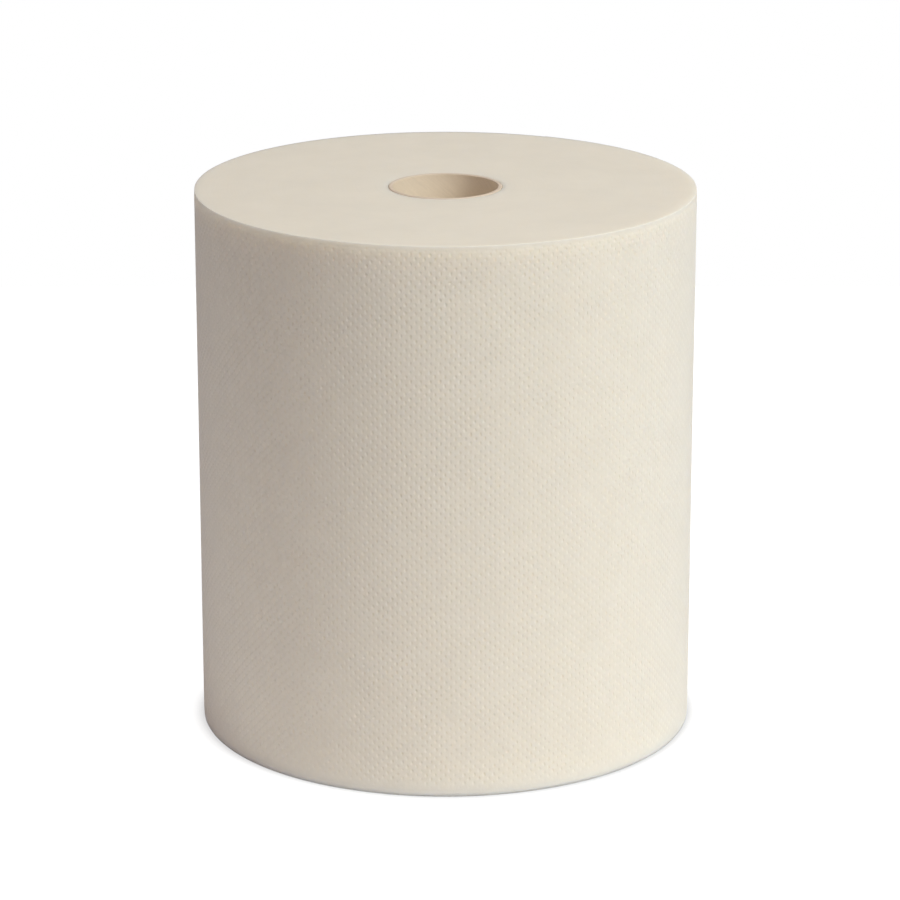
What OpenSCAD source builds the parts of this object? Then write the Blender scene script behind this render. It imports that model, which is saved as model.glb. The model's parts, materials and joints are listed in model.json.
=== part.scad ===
// Paper towel roll: one embossed towel, wound hard onto a cardboard core.
// The roll stands on its end. The origin is the middle of the lower end, and +Z runs up the core.

/* [Roll] */
// Width across the wound towel
roll_d = 190; // [140:1:260]
// Height of the roll, which is the width of the towel
roll_h = 210; // [100:1:320]

/* [Soft ends] */
// How far the side draws in towards each end
draw_in = 0.2; // [0.1:0.1:1.5]
// Height over which it draws in
draw_h = 5; // [3:0.5:12]
// Radius of the corner round each end
corner_r = 0.4; // [0.3:0.1:2]

/* [Towel] */
// Thickness of the loose last sheet, which leaves a step down the side where the towel ends
sheet_t = 0.4; // [0.2:0.05:1]
// Where that end lies, as an angle from +X seen from above
tail_angle = 65; // [0:5:355]

/* [Turns on the ends] */
// Turns that stand out on each end, from the core to the corner
shown_turns = 13; // [4:1:16]
// Width of the groove between one turn and the next, at the face
groove_w = 0.7; // [0.3:0.05:1.2]
// Depth of that groove
groove_d = 0.3; // [0.1:0.05:0.6]

/* [Core] */
// Bore of the cardboard core, where a dispenser's spindle or plugs go in
core_bore = 40; // [25:0.5:80]
// Wall of the core
core_wall = 1.5; // [0.8:0.1:4]
// Clearance between the core and the first turn
core_gap = 0.15; // [0.05:0.05:0.3]

/* [Hidden] */
$fn = 96;

roll_r = roll_d / 2;
core_r = core_bore / 2 + core_wall;
towel_in_r = core_r + core_gap;

// Each end has a long shallow arc, tangent to the side, and a small corner arc tangent to that one
// and to the flat of the end.
draw_r = (pow(draw_h, 2) + pow(draw_in, 2)) / (2 * draw_in);
corner_turn = asin((draw_h - corner_r) / (draw_r - corner_r));
corner_back = draw_r - (draw_r - corner_r) * cos(corner_turn);
draw_steps = 4;
corner_steps = 4;

// The flat of each end runs from the core to the corner, and the turns share it evenly, with a part
// of a turn left at either side for the groove to start and stop on.
end_flat = roll_r - corner_back - towel_in_r;
turn_pitch = end_flat / (shown_turns + 1);
first_groove_r = towel_in_r + turn_pitch * 3 / 4;

// What a cut runs past the face that it opens
past = 1;

// The core is one plain tube, cut to the width of the towel.
module core() {
    color([0.80, 0.71, 0.58])
        difference() {
            cylinder(h = roll_h, r = core_r);
            translate([0, 0, -past])
                cylinder(h = roll_h + 2 * past, d = core_bore);
        }
}

// One turn of a spiral that grows by its pitch: two half rings, whose centres lie a quarter of the
// pitch either side of the axis, so that each half runs on from the last without a kink.
// The first child is the section of the inner half, and the second that of the outer half.
module spiral_turn(pitch) {
    translate([-pitch / 4, 0, 0])
        rotate_extrude(angle = 180)
            children(0);
    translate([pitch / 4, 0, 0])
        rotate([0, 0, 180])
            rotate_extrude(angle = 180)
                children(1);
}

// Points along an arc, without its first
function arc_points(centre, r, from, to, steps) = [
    for (i = [1 : steps])
        let (a = from + (to - from) * i / steps)
        centre + r * [cos(a), sin(a)]
];

// The soft upper end of a roll of radius r, from the top of its straight side to the flat
function upper_end(r) = concat(
    [[r, roll_h - draw_h]],
    arc_points([r - draw_r, roll_h - draw_h], draw_r, 0, corner_turn, draw_steps),
    arc_points([r - corner_back, roll_h - corner_r], corner_r, corner_turn, 90, corner_steps)
);

// Half the section of the solid roll at a radius
module roll_section(r) {
    upper = upper_end(r);
    lower = [for (i = [len(upper) - 1 : -1 : 0]) [upper[i].x, roll_h - upper[i].y]];
    polygon(concat([[0, 0]], lower, upper, [[0, roll_h]]));
}

// Section of the groove at a radius. It is as wide as groove_w where it meets the face.
module groove_section(r) {
    cut_d = groove_d + past;
    cut_w = groove_w * cut_d / groove_d;
    translate([r, roll_h - groove_d])
        polygon([[0, 0], [cut_w / 2, cut_d], [-cut_w / 2, cut_d]]);
}

// The groove that sets the turns apart on the upper end, wound outwards from the core
module end_spiral() {
    for (turn = [0 : shown_turns - 1]) {
        r = first_groove_r + turn * turn_pitch;
        spiral_turn(turn_pitch) {
            groove_section(r);
            groove_section(r + turn_pitch / 2);
        }
    }
}

// All the turns are one solid. The last turn ends in a step as thick as the sheet, and the spiral
// on the lower end is the one on the upper end, seen through the roll.
module wound_towel() {
    color([0.87, 0.84, 0.77])
        rotate([0, 0, tail_angle])
            difference() {
                spiral_turn(sheet_t) {
                    roll_section(roll_r - sheet_t / 2);
                    roll_section(roll_r);
                }
                translate([0, 0, -past])
                    cylinder(h = roll_h + 2 * past, r = towel_in_r);
                end_spiral();
                translate([0, 0, roll_h])
                    mirror([0, 0, 1])
                        end_spiral();
            }
}

core();
wound_towel();
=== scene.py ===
"""A paper towel roll on a plain pale floor.

The roll has two pieces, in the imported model's frame: the towel, with its pressed-in dots, loose tail
and wound ends, and the spiral-wound cardboard core. Lengths are in metres.
"""

import json
import math

import bpy
import numpy as np
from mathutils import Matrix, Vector


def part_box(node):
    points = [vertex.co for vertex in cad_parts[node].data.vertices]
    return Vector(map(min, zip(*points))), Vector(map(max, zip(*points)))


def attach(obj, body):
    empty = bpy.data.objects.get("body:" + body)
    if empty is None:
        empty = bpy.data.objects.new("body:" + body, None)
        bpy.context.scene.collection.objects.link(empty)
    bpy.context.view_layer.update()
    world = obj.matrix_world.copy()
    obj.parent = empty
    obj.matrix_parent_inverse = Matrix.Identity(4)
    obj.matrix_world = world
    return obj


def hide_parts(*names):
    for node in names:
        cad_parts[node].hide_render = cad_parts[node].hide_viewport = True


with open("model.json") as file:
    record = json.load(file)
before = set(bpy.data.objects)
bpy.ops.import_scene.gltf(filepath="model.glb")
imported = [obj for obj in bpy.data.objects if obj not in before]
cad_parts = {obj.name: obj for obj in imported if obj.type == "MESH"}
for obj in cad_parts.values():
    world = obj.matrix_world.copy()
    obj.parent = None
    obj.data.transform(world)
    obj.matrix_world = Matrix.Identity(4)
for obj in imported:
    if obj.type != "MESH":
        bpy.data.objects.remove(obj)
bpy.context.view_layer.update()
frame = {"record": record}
MM = 0.001

# ---- Sizes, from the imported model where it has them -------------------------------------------

towel_low, towel_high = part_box("wound_towel")
core_low, core_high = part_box("core")
bore = next(mount for mount in frame["record"]["mounts"] if mount["name"] == "core_bore")

ROLL_H = towel_high.z - towel_low.z
SHEET_T = 0.4 * MM
TAIL_ANGLE = math.radians(65)
# The outline is two half rings, so the box is a little narrower than the roll.
ROLL_R = (towel_high.x - towel_low.x + SHEET_T / 2 * (1 - math.cos(TAIL_ANGLE))) / 2

# How far the side draws in towards an end, over what height, and the radius of the corner there.
UPPER_END = (0.08 * MM, 5 * MM, 0.06 * MM)
LOWER_END = (0.12 * MM, 4 * MM, 0.1 * MM)
CORNER_STEPS = 4

CORE_R = (core_high.x - core_low.x) / 2
BORE_R = bore["dims"]["r_mm"] * MM
CORE_GAP = 0.15 * MM
TOWEL_IN_R = CORE_R + CORE_GAP

# Dots, in a centred pattern: this many round the roll in one row, and this many rows of cells up it.
DOTS_ROUND = 166
DOTS_HIGH = 63
DOT_W = 2 * math.pi * ROLL_R / DOTS_ROUND
DOT_H = ROLL_H / DOTS_HIGH
DOT_DEPTH = 0.14 * MM
# A dot's pit: half its width, how much taller than wide it is, its depth and how much paler it is painted,
# as a painted highlight.
PIT_R = 0.80 * MM
PIT_TALL = 1.4
PIT_DEPTH = 0.27 * MM
PIT_PAINTED_HIGHLIGHT = 0.06
# How far a dot strays, as a share of a cell, and the shares of its depth that the pits vary between.
PIT_STRAY = 0.07
PIT_UNEVEN = (0.7, 1.25)
# The dots start, and reach their full depth, this far from the upper end, and this many times as far
# from the lower one.
DOTS_FROM = 0.8 * MM
DOTS_FULL = 3.0 * MM
FOOT_FADE = 2.5

# Relief of the paper's crepe, fibres and unevenness, in its material. The crepe's scale is per metre
# round, across and up the roll.
CREPE_SCALE = (2300.0, 2300.0, 520.0)
CREPE_DEPTH = 0.026 * MM
FIBRE_DEPTH = 0.075 * MM
CLOUD_DEPTH = 0.10 * MM

# Broad waves and upright ridges of the wound face.
SIDE_WAVE = 0.06 * MM
SIDE_RIDGE = 0.022 * MM

# Columns of the mesh round the roll: one on each dot, and one half way to the next.
COLUMNS = 2 * DOTS_ROUND
STEP = 2 * math.pi / COLUMNS

# The wound edges on each end: a spiral of this many turns that starts a little inside the side and
# stops a little outside the core, with the relief of its turns and the edge at the core.
END_TURNS = 64
END_MARGIN = 1.5 * MM
END_INNER = 0.5 * MM
END_RELIEF = 0.035 * MM
END_EDGE = 0.3 * MM
# The finer lines and fuzz in their material. A line's width, and how far it wanders, are shares of a
# sheet, and the rings of tone are per metre.
LINE_WIDTH = 0.35
LINE_WANDER = 0.6
LINE_DEPTH = 0.02 * MM
FUZZ_DEPTH = 0.05 * MM
RING_SCALE = 420.0

# The tail of the towel rises over its last few columns, along a curve of this power, with a shallow
# gap under its edge, a share of a column deep.
TAIL_RISE = 5
TAIL_CURVE = 1.6
TAIL_GAP = 0.3
# How far its edge stands off, how much that varies, and the share that is left at each end of the
# roll, reached over this height.
TAIL_LIFT = 0.45 * MM
TAIL_UNEVEN = 0.35
TAIL_END = 0.15
TAIL_FLAT = 30 * MM

# The core is wound from board plies, which leave a fine seam on its inside.
PLY_LEAD = 104 * MM
SEAM_W = 0.7 * MM
SEAM_D = 0.14 * MM
# The point beside the seam's middle: a share of its width out, and a share of its depth.
SEAM_SHOULDER = (0.45, 0.75)
CORE_COLUMNS = 180
CORE_ROWS = 84
CORE_EDGE = 0.25 * MM
CORE_WAVE = 0.03 * MM
BOARD_RELIEF = 0.03 * MM
GRAIN_UP = 6.0

# Faces that meet at more than this are shaded with a sharp edge.
SHARP_ANGLE = math.radians(42)

# ---- Colours, linear ---------------------------------------------------------------------------

TOWEL = (0.80, 0.751, 0.651)
TOWEL_END = (0.742, 0.684, 0.564)
BOARD = (0.785, 0.675, 0.52)
BOARD_CUT = (0.66, 0.55, 0.43)
FLOOR = (0.88, 0.88, 0.88)

# Light that falls on the open tissue comes out again this far off, so the edges of the roll look soft.
TOWEL_GLOW = 0.85
GLOW_REACH = 8 * MM
GLOW_TINT = (1.0, 0.92, 0.79)

# The side is painted a little darker close to its upper end, as painted shade against the light its edge
# catches, and a little paler close to the floor, as painted light against the shade where it meets the
# floor.
UPPER_PAINTED_SHADE = 0.86
FOOT_PAINTED_LIGHT = 1.2
PAINTED_BAND_H = 2.5 * MM

# ---- Light -------------------------------------------------------------------------------------

KEY_AZIMUTH = math.radians(54)
KEY_ELEVATION = math.radians(46)
KEY_DISTANCE = 2.4
KEY_WIDTH = 0.9
KEY_POWER = 44.3
KEY_COLOUR = (0.957, 1.0, 0.995)
SKY_HIGH = (0.386, 0.344, 0.347)
SKY_LOW = (0.0, 0.0, 0.0)
SKY_FROM = 0.0
SKY_TO = 0.3
SKY_LEAN_X = -0.30
SKY_LEAN_Y = -0.58
FLOOR_WIDTH = 1.3
# What the camera sees of the floor is mostly its own glow, which reads as white, with a share of the
# light that falls on it. Both fade out against the roll, as a thin shadow where the two touch, and
# inside the bore the floor has no glow. It lies this far under the roll, so that no two faces share
# a plane.
FLOOR_DROP = 0.02 * MM
FLOOR_GLOW = 0.95
FLOOR_SHADE = 0.22
CONTACT_REACH = 5.0 * MM
CONTACT_DEPTH = 0.58


# ---- Camera ------------------------------------------------------------------------------------

CAMERA_AT = (0, -1.4327, 0.5455)
CAMERA_PITCH = math.radians(17.078)
CAMERA_YAW = math.radians(0.072)
CAMERA_LENS = 155.2
SENSOR_WIDTH = 36.0


# ---- Smooth random relief ----------------------------------------------------------------------


def waves(seed, count, turns, heights):
    """A few sine waves that close round the roll: (turns round, waves up the roll, phase, share)."""
    rng = np.random.default_rng(seed)
    return [
        (rng.integers(*turns), rng.uniform(*heights), rng.uniform(0, 2 * math.pi), 1 / math.sqrt(count))
        for _ in range(count)
    ]


def relief(parts, angle, height):
    """The sum of the waves at an angle and a height, about -1 to 1."""
    total = 0
    for round_turns, up_waves, phase, share in parts:
        up = 2 * math.pi * up_waves * height / ROLL_H
        total = total + share * np.sin(round_turns * angle + up + phase)
    return total


# ---- Meshes ------------------------------------------------------------------------------------


def polar(radius, angle, z):
    """Points from radius, angle and height arrays of one shape."""
    radius, angle, z = np.broadcast_arrays(radius, angle, z)
    return np.stack([radius * np.cos(angle), radius * np.sin(angle), z], axis=-1)


def strip(lower, upper, closed=False):
    """Quads between two rows of vertex numbers, facing outwards when the rows run counterclockwise."""
    if closed:
        lower, upper = np.append(lower, lower[0]), np.append(upper, upper[0])
    return np.stack([lower[:-1], lower[1:], upper[1:], upper[:-1]], axis=1).tolist()


def piece(name, node, points, faces, materials, face_materials):
    """Adds a shaded mesh object that stands for a CAD node."""
    mesh = bpy.data.meshes.new(name)
    mesh.from_pydata(points.tolist(), [], faces)
    for material in materials:
        mesh.materials.append(material)
    mesh.polygons.foreach_set("material_index", face_materials)
    mesh.polygons.foreach_set("use_smooth", np.ones(len(faces), bool))
    mesh.update()
    mesh.set_sharp_from_angle(angle=SHARP_ANGLE)
    thing = bpy.data.objects.new(name, mesh)
    bpy.context.scene.collection.objects.link(thing)
    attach(thing, "root")
    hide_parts(node)


def inset(from_end, end):
    """How far the side has drawn in at a distance from an end."""
    draw_in, draw_h, _ = end
    draw_r = (draw_h**2 + draw_in**2) / (2 * draw_in)
    into = np.clip(draw_h - from_end, 0, draw_h)
    return draw_r - np.sqrt(draw_r**2 - into**2)


def corner_rows(end):
    """(distance from the end, inset) of the corner's points, from the flat to the side."""
    draw_in, draw_h, corner_r = end
    draw_r = (draw_h**2 + draw_in**2) / (2 * draw_in)
    side_turn = math.asin((draw_h - corner_r) / (draw_r - corner_r))
    back = draw_r - (draw_r - corner_r) * math.cos(side_turn)
    turns = np.linspace(math.pi / 2, side_turn, CORNER_STEPS + 1)
    return [(corner_r - corner_r * math.sin(turn), back - corner_r * math.cos(turn)) for turn in turns]


def outer_radius(turn):
    """Radius of the towel's face, a share of a turn on from the tail."""
    return ROLL_R + SHEET_T * (turn - 0.75)


def dotted_strip(lower, upper, dot_row):
    """Triangles between two rows, split so that each pressed-in point is the middle of its own pit."""
    a, b, c, d = lower[:-1], lower[1:], upper[1:], upper[:-1]
    pressed = (np.arange(len(a)) + dot_row) % 2 == 0
    first = np.where(pressed, (a, b, d), (a, b, c)).T
    second = np.where(pressed, (b, c, d), (a, c, d)).T
    return first.tolist() + second.tolist()


def dot_mask(z):
    """0 to 1: how deep the dots are at a height."""
    from_end = np.minimum(z / FOOT_FADE, ROLL_H - z)
    ramp = np.clip((from_end - DOTS_FROM) / (DOTS_FULL - DOTS_FROM), 0, 1)
    return ramp * ramp * (3 - 2 * ramp)


def tail_lift(z):
    """How far the tail stands off at a height, apart from its waves."""
    from_end = min(z, ROLL_H - z)
    return TAIL_LIFT * (TAIL_END + (1 - TAIL_END) * min(1.0, from_end / TAIL_FLAT))


def side_rows():
    """(height, inset, dot row or None) of each loop of the side, from the lower end to the upper one."""
    lower = [(z, in_by, None) for z, in_by in corner_rows(LOWER_END)]
    upper = [(ROLL_H - z, in_by, None) for z, in_by in corner_rows(UPPER_END)]
    dotted = []
    for row in range(1, 2 * DOTS_HIGH):
        z = row * DOT_H / 2
        dotted.append((z, inset(z, LOWER_END) + inset(ROLL_H - z, UPPER_END), row))
    return lower + dotted + upper[::-1]


def end_spiral(points, outline, top):
    """The wound edges on one end: one spiral of quads, from the outline to the core.

    The outline's first point lies on the ray at the tail, where each turn runs on into the next one.
    """
    seed = 31 if top else 32
    steps = np.random.default_rng(seed).normal(0, 1, END_TURNS + 2)
    broad = waves(seed + 10, count=5, turns=(1, 4), heights=(-2, 2))
    share = np.arange(COLUMNS * END_TURNS) / COLUMNS
    angle = 2 * math.pi * share
    first_r, last_r = ROLL_R - END_MARGIN, TOWEL_IN_R + END_INNER
    radius = first_r + (last_r - first_r) * share / (END_TURNS - 1 / COLUMNS)
    rough = np.interp(share, np.arange(END_TURNS + 2), steps) + 0.5 * relief(broad, angle, radius)
    fade = np.clip(np.minimum(share, END_TURNS - share) / 2, 0, 1)
    dip = END_RELIEF * fade * (1 + np.clip(0.7 * rough, -1, 1))

    turn_edge = np.arange(COLUMNS) * STEP + TAIL_ANGLE
    made = sum(len(some) for some in points)
    numbers = made + np.arange(len(angle))
    edge = made + len(angle) + np.arange(COLUMNS)
    z, edge_z = (ROLL_H - dip, ROLL_H - END_EDGE) if top else (dip, END_EDGE)
    points.append(polar(radius, angle + TAIL_ANGLE, z))
    points.append(polar(TOWEL_IN_R, turn_edge, edge_z))

    turn = COLUMNS
    faces = strip(outline[:turn], numbers[:turn])
    faces.append([outline[turn - 1], outline[0], numbers[0], numbers[turn], numbers[turn - 1]])
    faces += strip(numbers[: len(numbers) - turn], numbers[turn:])
    inside = numbers[-turn:]
    faces += strip(inside, edge)
    faces.append([numbers[-turn - 1], inside[0], edge[0], edge[-1], inside[-1]])
    return [[int(n) for n in face] for face in faces], edge


def towel_loops():
    """The side's points, with the vertex numbers and the dot row of each loop.

    Each loop runs round the face to the tail, down the edge of the sheet, back into the gap under it,
    and forward again over the turn below.
    """
    side = waves(seed=11, count=9, turns=(2, 9), heights=(-1.5, 1.5))
    ridge = waves(seed=12, count=6, turns=(9, 22), heights=(-0.6, 0.6))
    lift_waves = waves(seed=13, count=3, turns=(1, 3), heights=(0.5, 2.5))
    index = np.append(np.arange(COLUMNS + 1), [COLUMNS, COLUMNS - TAIL_GAP])
    place = np.arange(len(index))
    on_face = place <= COLUMNS
    raised = place <= COLUMNS + 1
    angle = index * STEP
    rise = np.clip((index - COLUMNS) / TAIL_RISE + 1, 0, 1) ** TAIL_CURVE

    points, rows, dot_rows = [], [], []
    for z, in_by, dot_row in side_rows():
        lift = tail_lift(z) * (1 + TAIL_UNEVEN * relief(lift_waves, 0.0, z))
        radius = outer_radius(index / COLUMNS) - in_by
        radius = radius + SIDE_WAVE * relief(side, angle, z) + SIDE_RIDGE * relief(ridge, angle, z)
        radius = radius + np.where(raised, lift * rise, 0) - np.where(on_face, 0, SHEET_T)
        if dot_row is not None:
            dotted = on_face & ((index + dot_row) % 2 == 0)
            radius = radius - np.where(dotted, DOT_DEPTH * dot_mask(z), 0)
        rows.append(place + len(index) * len(points))
        dot_rows.append(dot_row)
        points.append(polar(radius, angle + TAIL_ANGLE, z))
    return points, rows, dot_rows


def side_faces(rows, dot_rows):
    """The faces between the side's loops, and the material number of each."""
    faces, kinds = [], []
    for lower, upper, dot_row, next_row in zip(rows[:-1], rows[1:], dot_rows[:-1], dot_rows[1:]):
        if dot_row is None or next_row is None:
            new = strip(lower, upper, closed=True)
            kind = 0 if dot_row or next_row else 1
        else:
            new = dotted_strip(lower[: COLUMNS + 1], upper[: COLUMNS + 1], dot_row)
            new += strip(np.append(lower[COLUMNS:], lower[0]), np.append(upper[COLUMNS:], upper[0]))
            kind = 0
        faces += new
        kinds += [kind] * len(new)
    return faces, kinds


def end_faces(points, row, top):
    """The faces of one end, and the vertex numbers of its edge at the core.

    The end of the tail's sheet, with the crease under it, closes against the turn below.
    """
    before, above, edge, under, crease = (int(n) for n in row[COLUMNS - 2 :])
    spiral, inner_edge = end_spiral(points, np.append(row[: COLUMNS - 1], crease), top)
    faces = [[above, edge, under, crease], [before, above, crease], *spiral]
    return (faces if top else [face[::-1] for face in faces]), inner_edge


def wound_paper(face, cut):
    """The towel: dots pressed into its side, sharp soft corners, the loose tail and the wound ends."""
    points, rows, dot_rows = towel_loops()
    faces, kinds = side_faces(rows, dot_rows)
    lower, lower_edge = end_faces(points, rows[0], False)
    upper, upper_edge = end_faces(points, rows[-1], True)
    cut_faces = lower + upper + strip(upper_edge, lower_edge, closed=True)
    faces += cut_faces
    kinds += [1] * len(cut_faces)
    piece(
        "wound_paper", "wound_towel", np.concatenate(points), faces, [face, cut], kinds
    )


def core_tube(board, cut):
    """The core: its columns follow the ply, so the seam inside it is one column, pressed back."""
    seam = SEAM_W / BORE_R
    rest = np.linspace(seam, 2 * math.pi - seam, CORE_COLUMNS - 3)
    shoulder, shoulder_d = SEAM_SHOULDER
    turn = np.concatenate([[0, seam * shoulder], rest, [2 * math.pi - seam * shoulder]])
    groove = np.zeros(len(turn))
    groove[0] = SEAM_D
    groove[[1, -1]] = SEAM_D * shoulder_d
    heights = np.linspace(CORE_EDGE, ROLL_H - CORE_EDGE, CORE_ROWS)
    wave = waves(seed=41, count=5, turns=(2, 6), heights=(-2, 2))
    section = [(CORE_R, z, 0) for z in heights]
    section += [(CORE_R - CORE_EDGE, ROLL_H, 0), (BORE_R + CORE_EDGE, ROLL_H, 0.5)]
    section += [(BORE_R, z, 1) for z in heights[::-1]]
    section += [(BORE_R + CORE_EDGE, 0.0, 0.5), (CORE_R - CORE_EDGE, 0.0, 0)]
    points, rows = [], []
    for radius, z, inside in section:
        angle = turn + 2 * math.pi * z / PLY_LEAD
        out = groove * inside + CORE_WAVE * inside * relief(wave, angle, z)
        rows.append(np.arange(len(turn)) + len(turn) * len(points))
        points.append(polar(radius + out, angle, z))
    faces, kinds = [], []
    for here, lower in enumerate(rows):
        there = (here + 1) % len(rows)
        new = strip(lower, rows[there], closed=True)
        on_end = {section[here][1], section[there][1]} & {0.0, ROLL_H}
        faces += new
        kinds += [1 if on_end else 0] * len(new)
    piece("core_tube", "core", np.concatenate(points), faces, [board, cut], kinds)


# ---- Materials ---------------------------------------------------------------------------------


# Most of a noise texture's values lie between these.
NOISE_LOW = 0.3
NOISE_HIGH = 0.7


class Nodes:
    """Adds nodes to a material or world and links them."""

    def __init__(self, owner):
        owner.use_nodes = True
        self.tree = owner.node_tree
        self.tree.nodes.clear()

    def add(self, kind, inputs=None, out=0, **settings):
        made = self.tree.nodes.new(kind)
        for name, value in settings.items():
            setattr(made, name, value)
        for socket, value in (inputs or {}).items():
            self.put(made.inputs[socket], value)
        return made if out is None else made.outputs[out]

    def put(self, socket, value):
        if isinstance(value, bpy.types.NodeSocket):
            self.tree.links.new(value, socket)
        else:
            socket.default_value = value

    def maths(self, operation, *values):
        return self.add("ShaderNodeMath", dict(enumerate(values)), operation=operation)

    def remap(self, value, low, high, to_low, to_high, smooth=True):
        inputs = {"Value": value, "From Min": low, "From Max": high, "To Min": to_low, "To Max": to_high}
        kind = "SMOOTHSTEP" if smooth else "LINEAR"
        return self.add("ShaderNodeMapRange", inputs, interpolation_type=kind)

    def noise(self, where, scale, detail=2.0, roughness=0.5):
        inputs = {"Vector": where, "Scale": scale, "Detail": detail, "Roughness": roughness}
        return self.add("ShaderNodeTexNoise", inputs)

    def spread(self, noise, low, high, smooth=True):
        """A noise, stretched so that most of it runs from low to high."""
        return self.remap(noise, NOISE_LOW, NOISE_HIGH, low, high, smooth)

    def stretched(self, where, scale):
        inputs = {"Vector": where, "Scale": scale}
        return self.add("ShaderNodeMapping", inputs)

    def tint(self, factor, dark, light):
        inputs = {0: factor, 6: (*dark, 1.0), 7: (*light, 1.0)}
        return self.add("ShaderNodeMix", inputs, out=2, data_type="RGBA")

    def toned(self, tone, colour, dark, light):
        """A colour that varies with a noise between two shares of itself."""
        factor = self.spread(tone, 0.0, 1.0, smooth=False)
        return self.tint(factor, shade(colour, dark), shade(colour, light))

    def darker(self, colour, factor):
        return self.add("ShaderNodeVectorMath", {0: colour, "Scale": factor}, operation="SCALE")


def shade(colour, factor):
    """A colour made lighter or darker by a factor."""
    return tuple(min(1.0, channel * factor) for channel in colour)


def finish(nodes, colour, roughness, height, specular, glow=0.0):
    """The paper or board shader at the end of a material, with its relief in metres.

    The glow is the share of the light that goes into the paper and comes out some way off.
    """
    bump = nodes.add("ShaderNodeBump", {"Strength": 1.0, "Distance": 1.0, "Height": height})
    shader = nodes.add(
        "ShaderNodeBsdfPrincipled",
        {
            "Base Color": colour,
            "Roughness": roughness,
            "Specular IOR Level": specular,
            "Normal": bump,
            "Subsurface Weight": glow,
            "Subsurface Radius": GLOW_TINT,
            "Subsurface Scale": GLOW_REACH,
        },
    )
    nodes.add("ShaderNodeOutputMaterial", {"Surface": shader}, out=None)


def polar_coordinates(nodes, where):
    """(angle from the tail, radius, height) of a shading point."""
    parts = nodes.add("ShaderNodeSeparateXYZ", {"Vector": where}, out=None)
    x, y, z = parts.outputs
    angle = nodes.maths("SUBTRACT", nodes.maths("ARCTAN2", y, x), TAIL_ANGLE)
    flat = nodes.add("ShaderNodeCombineXYZ", {"X": x, "Y": y})
    radius = nodes.add("ShaderNodeVectorMath", {0: flat}, out="Value", operation="LENGTH")
    return angle, radius, z


def stray(nodes, where, scale):
    """How far the dots stray from their places, in cells."""
    return nodes.remap(nodes.noise(where, scale, detail=1.0), 0.25, 0.75, -PIT_STRAY, PIT_STRAY)


def dot_pits(nodes, where, angle, z):
    """0 to 1: how far into a dot's pit a shading point lies."""
    across = nodes.maths("MULTIPLY_ADD", angle, DOTS_ROUND / (2 * math.pi), stray(nodes, where, scale=110.0))
    up = nodes.maths("MULTIPLY_ADD", z, 1 / DOT_H, stray(nodes, where, scale=90.0))
    beside = nodes.maths("PINGPONG", across, 0.5)
    above = nodes.maths("PINGPONG", up, 0.5)
    distances = []
    for shift in (0.0, 0.5):
        side_way = nodes.maths("MULTIPLY", nodes.maths("SUBTRACT", beside, shift), DOT_W)
        up_way = nodes.maths("MULTIPLY", nodes.maths("SUBTRACT", above, shift), DOT_H / PIT_TALL)
        square = nodes.maths("MULTIPLY_ADD", side_way, side_way, nodes.maths("MULTIPLY", up_way, up_way))
        distances.append(nodes.maths("SQRT", square))
    pit = nodes.remap(nodes.maths("MINIMUM", *distances), 0.0, PIT_R, 1.0, 0.0)
    from_top = nodes.maths("SUBTRACT", ROLL_H, z)
    from_end = nodes.maths("MINIMUM", nodes.maths("DIVIDE", z, FOOT_FADE), from_top)
    pit = nodes.maths("MULTIPLY", pit, nodes.remap(from_end, DOTS_FROM, DOTS_FULL, 0.0, 1.0))
    uneven = nodes.spread(nodes.noise(where, scale=75.0, detail=3.0), *PIT_UNEVEN)
    return nodes.maths("MULTIPLY", pit, uneven)


def towel_face():
    """The towel's face: pressed-in dots, crepe, fibre and a faint cloudiness."""
    material = bpy.data.materials.new("towel_face")
    nodes = Nodes(material)
    where = nodes.add("ShaderNodeTexCoord", out="Object")
    angle, _, z = polar_coordinates(nodes, where)
    pit = dot_pits(nodes, where, angle, z)

    crepe = nodes.noise(nodes.stretched(where, CREPE_SCALE), scale=1.0, detail=2.0)
    fibre = nodes.noise(where, scale=620.0, detail=4.0, roughness=0.6)
    cloud = nodes.noise(where, scale=70.0, detail=4.0, roughness=0.55)
    height = nodes.maths("MULTIPLY", pit, -PIT_DEPTH)
    height = nodes.maths("MULTIPLY_ADD", crepe, CREPE_DEPTH, height)
    height = nodes.maths("MULTIPLY_ADD", fibre, FIBRE_DEPTH, height)
    height = nodes.maths("MULTIPLY_ADD", cloud, CLOUD_DEPTH, height)

    speckle = nodes.noise(where, scale=330.0, detail=3.0)
    tone = nodes.maths("MULTIPLY_ADD", speckle, 0.5, nodes.maths("MULTIPLY", cloud, 0.5))
    # Painted shade close to the upper end and painted light close to the floor, as tones of the colour.
    upper_painted_shade = nodes.remap(nodes.maths("SUBTRACT", ROLL_H, z), 0.0, PAINTED_BAND_H, UPPER_PAINTED_SHADE, 1.0)
    foot_painted_light = nodes.remap(z, 0.0, PAINTED_BAND_H, FOOT_PAINTED_LIGHT, 1.0)
    # The pits are painted paler: a painted highlight on the dots.
    pit_painted_highlight = nodes.maths("MULTIPLY_ADD", pit, PIT_PAINTED_HIGHLIGHT, 1.0)
    share = nodes.maths("MULTIPLY", pit_painted_highlight, nodes.maths("MULTIPLY", upper_painted_shade, foot_painted_light))
    colour = nodes.darker(nodes.toned(tone, TOWEL, dark=0.975, light=1.025), share)
    finish(nodes, colour, nodes.spread(fibre, 0.82, 0.95), height, specular=0.2, glow=TOWEL_GLOW)
    return material


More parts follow.
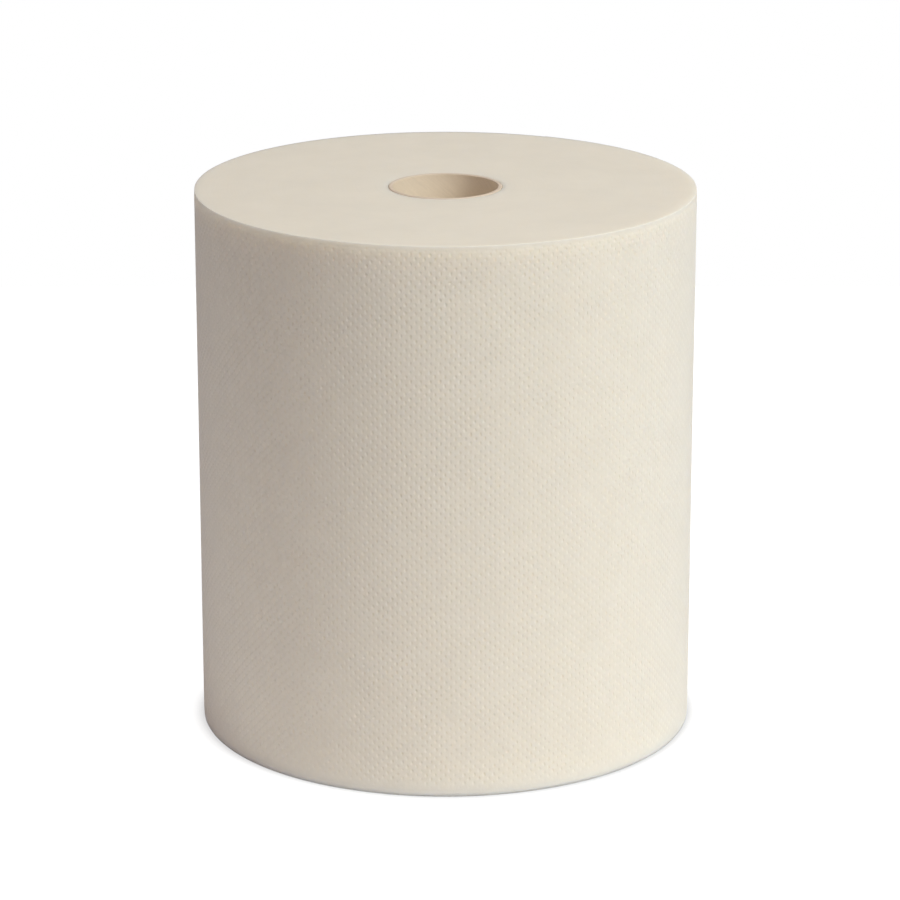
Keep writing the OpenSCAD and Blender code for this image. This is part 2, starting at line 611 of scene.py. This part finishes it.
def towel_cut():
    """The cut edges of the turns: fine spiral lines with painted shade in them, fuzz and faint rings of
    tone.
    """
    material = bpy.data.materials.new("towel_cut")
    nodes = Nodes(material)
    where = nodes.add("ShaderNodeTexCoord", out="Object")
    angle, radius, _ = polar_coordinates(nodes, where)

    wander = nodes.spread(nodes.noise(where, scale=60.0, detail=3.0), -LINE_WANDER, LINE_WANDER)
    turned = nodes.maths("MULTIPLY", angle, -1 / (2 * math.pi))
    turns = nodes.maths("MULTIPLY_ADD", radius, 1 / SHEET_T, turned)
    edge = nodes.maths("PINGPONG", nodes.maths("ADD", turns, wander), 0.5)
    line = nodes.remap(edge, 0.0, LINE_WIDTH, 1.0, 0.0)
    fuzz = nodes.noise(where, scale=1400.0, detail=4.0, roughness=0.65)
    cloud = nodes.noise(where, scale=55.0, detail=4.0, roughness=0.55)
    out = nodes.maths("MULTIPLY", radius, RING_SCALE)
    rings = nodes.add("ShaderNodeTexNoise", {"W": out, "Detail": 3.0}, noise_dimensions="1D")

    height = nodes.maths("MULTIPLY", line, -LINE_DEPTH)
    height = nodes.maths("MULTIPLY_ADD", fuzz, FUZZ_DEPTH, height)
    height = nodes.maths("MULTIPLY_ADD", cloud, CLOUD_DEPTH, height)
    tone = nodes.maths("MULTIPLY_ADD", cloud, 0.6, nodes.maths("MULTIPLY", rings, 0.3))
    tone = nodes.maths("MULTIPLY_ADD", fuzz, 0.2, tone)
    # The lines between the turns are painted darker: painted shade in the gaps.
    tone = nodes.maths("MULTIPLY_ADD", line, -0.08, tone)
    colour = nodes.toned(tone, TOWEL_END, dark=0.965, light=1.03)
    finish(nodes, colour, nodes.spread(fuzz, 0.86, 0.97), height, specular=0.15, glow=TOWEL_GLOW)
    return material


def core_board(name, tone_colour):
    """Buff core board: fibres that follow the ply, small flecks and a soft sheen."""
    material = bpy.data.materials.new(name)
    nodes = Nodes(material)
    where = nodes.add("ShaderNodeTexCoord", out="Object")
    angle, _, z = polar_coordinates(nodes, where)

    along = nodes.maths("MULTIPLY_ADD", z, -2 * math.pi / PLY_LEAD, angle)
    ply = nodes.add(
        "ShaderNodeCombineXYZ",
        {
            "X": nodes.maths("COSINE", along),
            "Y": nodes.maths("SINE", along),
            "Z": nodes.maths("MULTIPLY", z, GRAIN_UP),
        },
    )
    grain = nodes.noise(ply, scale=26.0, detail=4.0, roughness=0.6)
    fleck = nodes.noise(where, scale=900.0, detail=3.0, roughness=0.7)
    cloud = nodes.noise(where, scale=90.0, detail=3.0)
    height = nodes.maths("MULTIPLY", nodes.maths("ADD", grain, fleck), BOARD_RELIEF)
    tone = nodes.maths("MULTIPLY_ADD", grain, 0.45, nodes.maths("MULTIPLY", cloud, 0.3))
    tone = nodes.maths("MULTIPLY_ADD", fleck, 0.25, tone)
    colour = nodes.toned(tone, tone_colour, dark=0.92, light=1.06)
    finish(nodes, colour, nodes.spread(fleck, 0.7, 0.85), height, specular=0.3)
    return material


def seen_directly(nodes):
    """1 for what the camera, a reflection or a refraction sees, and 0 for the light on the roll."""
    path = nodes.add("ShaderNodeLightPath", out=None)
    seen = nodes.maths("MAXIMUM", path.outputs["Is Camera Ray"], path.outputs["Is Glossy Ray"])
    return nodes.maths("MAXIMUM", seen, path.outputs["Is Transmission Ray"])


# ---- Floor, world, light and camera ------------------------------------------------------------


def pale_floor():
    """A pale floor that shows white, apart from the shadow that the roll leaves on it."""
    material = bpy.data.materials.new("pale_floor")
    nodes = Nodes(material)
    where = nodes.add("ShaderNodeTexCoord", out="Object")
    grain = nodes.noise(where, scale=40.0, detail=3.0)
    colour = nodes.tint(grain, shade(FLOOR, 0.99), shade(FLOOR, 1.01))
    _, radius, _ = polar_coordinates(nodes, where)
    outside = nodes.maths("GREATER_THAN", radius, CORE_R)
    seen = nodes.maths("MULTIPLY", seen_directly(nodes), outside)
    near = nodes.add("ShaderNodeAmbientOcclusion", {"Distance": CONTACT_REACH}, out="AO", samples=8)
    clear = nodes.maths("POWER", near, CONTACT_DEPTH)
    share = nodes.maths("MULTIPLY_ADD", clear, FLOOR_SHADE, -1.0)
    share = nodes.maths("MULTIPLY_ADD", share, seen, 1.0)
    matt = nodes.add("ShaderNodeBsdfDiffuse", {"Color": nodes.darker(colour, share)})
    glow = nodes.maths("MULTIPLY", nodes.maths("MULTIPLY", clear, FLOOR_GLOW), seen)
    light = nodes.add("ShaderNodeEmission", {"Color": (1.0, 1.0, 1.0, 1.0), "Strength": glow})
    both = nodes.add("ShaderNodeAddShader", {0: matt, 1: light})
    nodes.add("ShaderNodeOutputMaterial", {"Surface": both}, out=None)

    half = FLOOR_WIDTH / 2
    mesh = bpy.data.meshes.new("floor")
    corners = [(x * half, y * half, -FLOOR_DROP) for x, y in ((-1, -1), (1, -1), (1, 1), (-1, 1))]
    mesh.from_pydata(corners, [], [(0, 1, 2, 3)])
    mesh.materials.append(material)
    floor = bpy.data.objects.new("floor", mesh)
    bpy.context.scene.collection.objects.link(floor)


def studio_world():
    """White to look at, and a soft even light from above on the roll."""
    world = bpy.data.worlds.new("studio")
    bpy.context.scene.world = world
    nodes = Nodes(world)
    seen = nodes.add("ShaderNodeBackground", {"Color": (1.0, 1.0, 1.0, 1.0), "Strength": 1.0})
    towards = nodes.add("ShaderNodeTexCoord", out="Generated")
    parts = nodes.add("ShaderNodeSeparateXYZ", {"Vector": towards}, out=None)
    height = nodes.remap(parts.outputs["Z"], SKY_FROM, SKY_TO, 0.0, 1.0)
    lean = nodes.maths("MULTIPLY_ADD", parts.outputs["X"], SKY_LEAN_X, 1.0)
    lean = nodes.maths("MULTIPLY_ADD", parts.outputs["Y"], SKY_LEAN_Y, lean)
    sky = nodes.tint(height, SKY_LOW, SKY_HIGH)
    lit = nodes.add("ShaderNodeBackground", {"Color": sky, "Strength": lean})
    mixed = nodes.add("ShaderNodeMixShader", {0: seen_directly(nodes), 1: lit, 2: seen})
    nodes.add("ShaderNodeOutputWorld", {"Surface": mixed}, out=None)


def area_light(name, azimuth, elevation, distance, width, power, colour):
    """A round soft lamp aimed at the middle of the roll. Azimuth is to the right of the camera."""
    lamp = bpy.data.lights.new(name, "AREA")
    lamp.shape = "DISK"
    lamp.size = width
    lamp.energy = power
    lamp.color = colour
    thing = bpy.data.objects.new(name, lamp)
    aim = Vector((0, 0, ROLL_H / 2))
    towards = Vector(
        (
            math.sin(azimuth) * math.cos(elevation),
            -math.cos(azimuth) * math.cos(elevation),
            math.sin(elevation),
        )
    )
    thing.location = aim + towards * distance
    thing.rotation_euler = towards.to_track_quat("Z", "Y").to_euler()
    bpy.context.scene.collection.objects.link(thing)


def camera():
    """The photograph's view: a long lens, looking down a little on the roll."""
    lens = bpy.data.cameras.new("camera")
    lens.sensor_fit = "HORIZONTAL"
    lens.sensor_width = SENSOR_WIDTH
    lens.lens = CAMERA_LENS
    thing = bpy.data.objects.new("camera", lens)
    thing.location = CAMERA_AT
    thing.rotation_euler = (math.pi / 2 - CAMERA_PITCH, 0, -CAMERA_YAW)
    bpy.context.scene.collection.objects.link(thing)
    bpy.context.scene.camera = thing


camera()
studio_world()
pale_floor()
area_light("key", KEY_AZIMUTH, KEY_ELEVATION, KEY_DISTANCE, KEY_WIDTH, KEY_POWER, KEY_COLOUR)
face_paper = towel_face()
cut_paper = towel_cut()
wound_paper(face_paper, cut_paper)
core_tube(core_board("core_board", BOARD), core_board("core_board_cut", BOARD_CUT))
bpy.context.scene.view_settings.view_transform = "Standard"
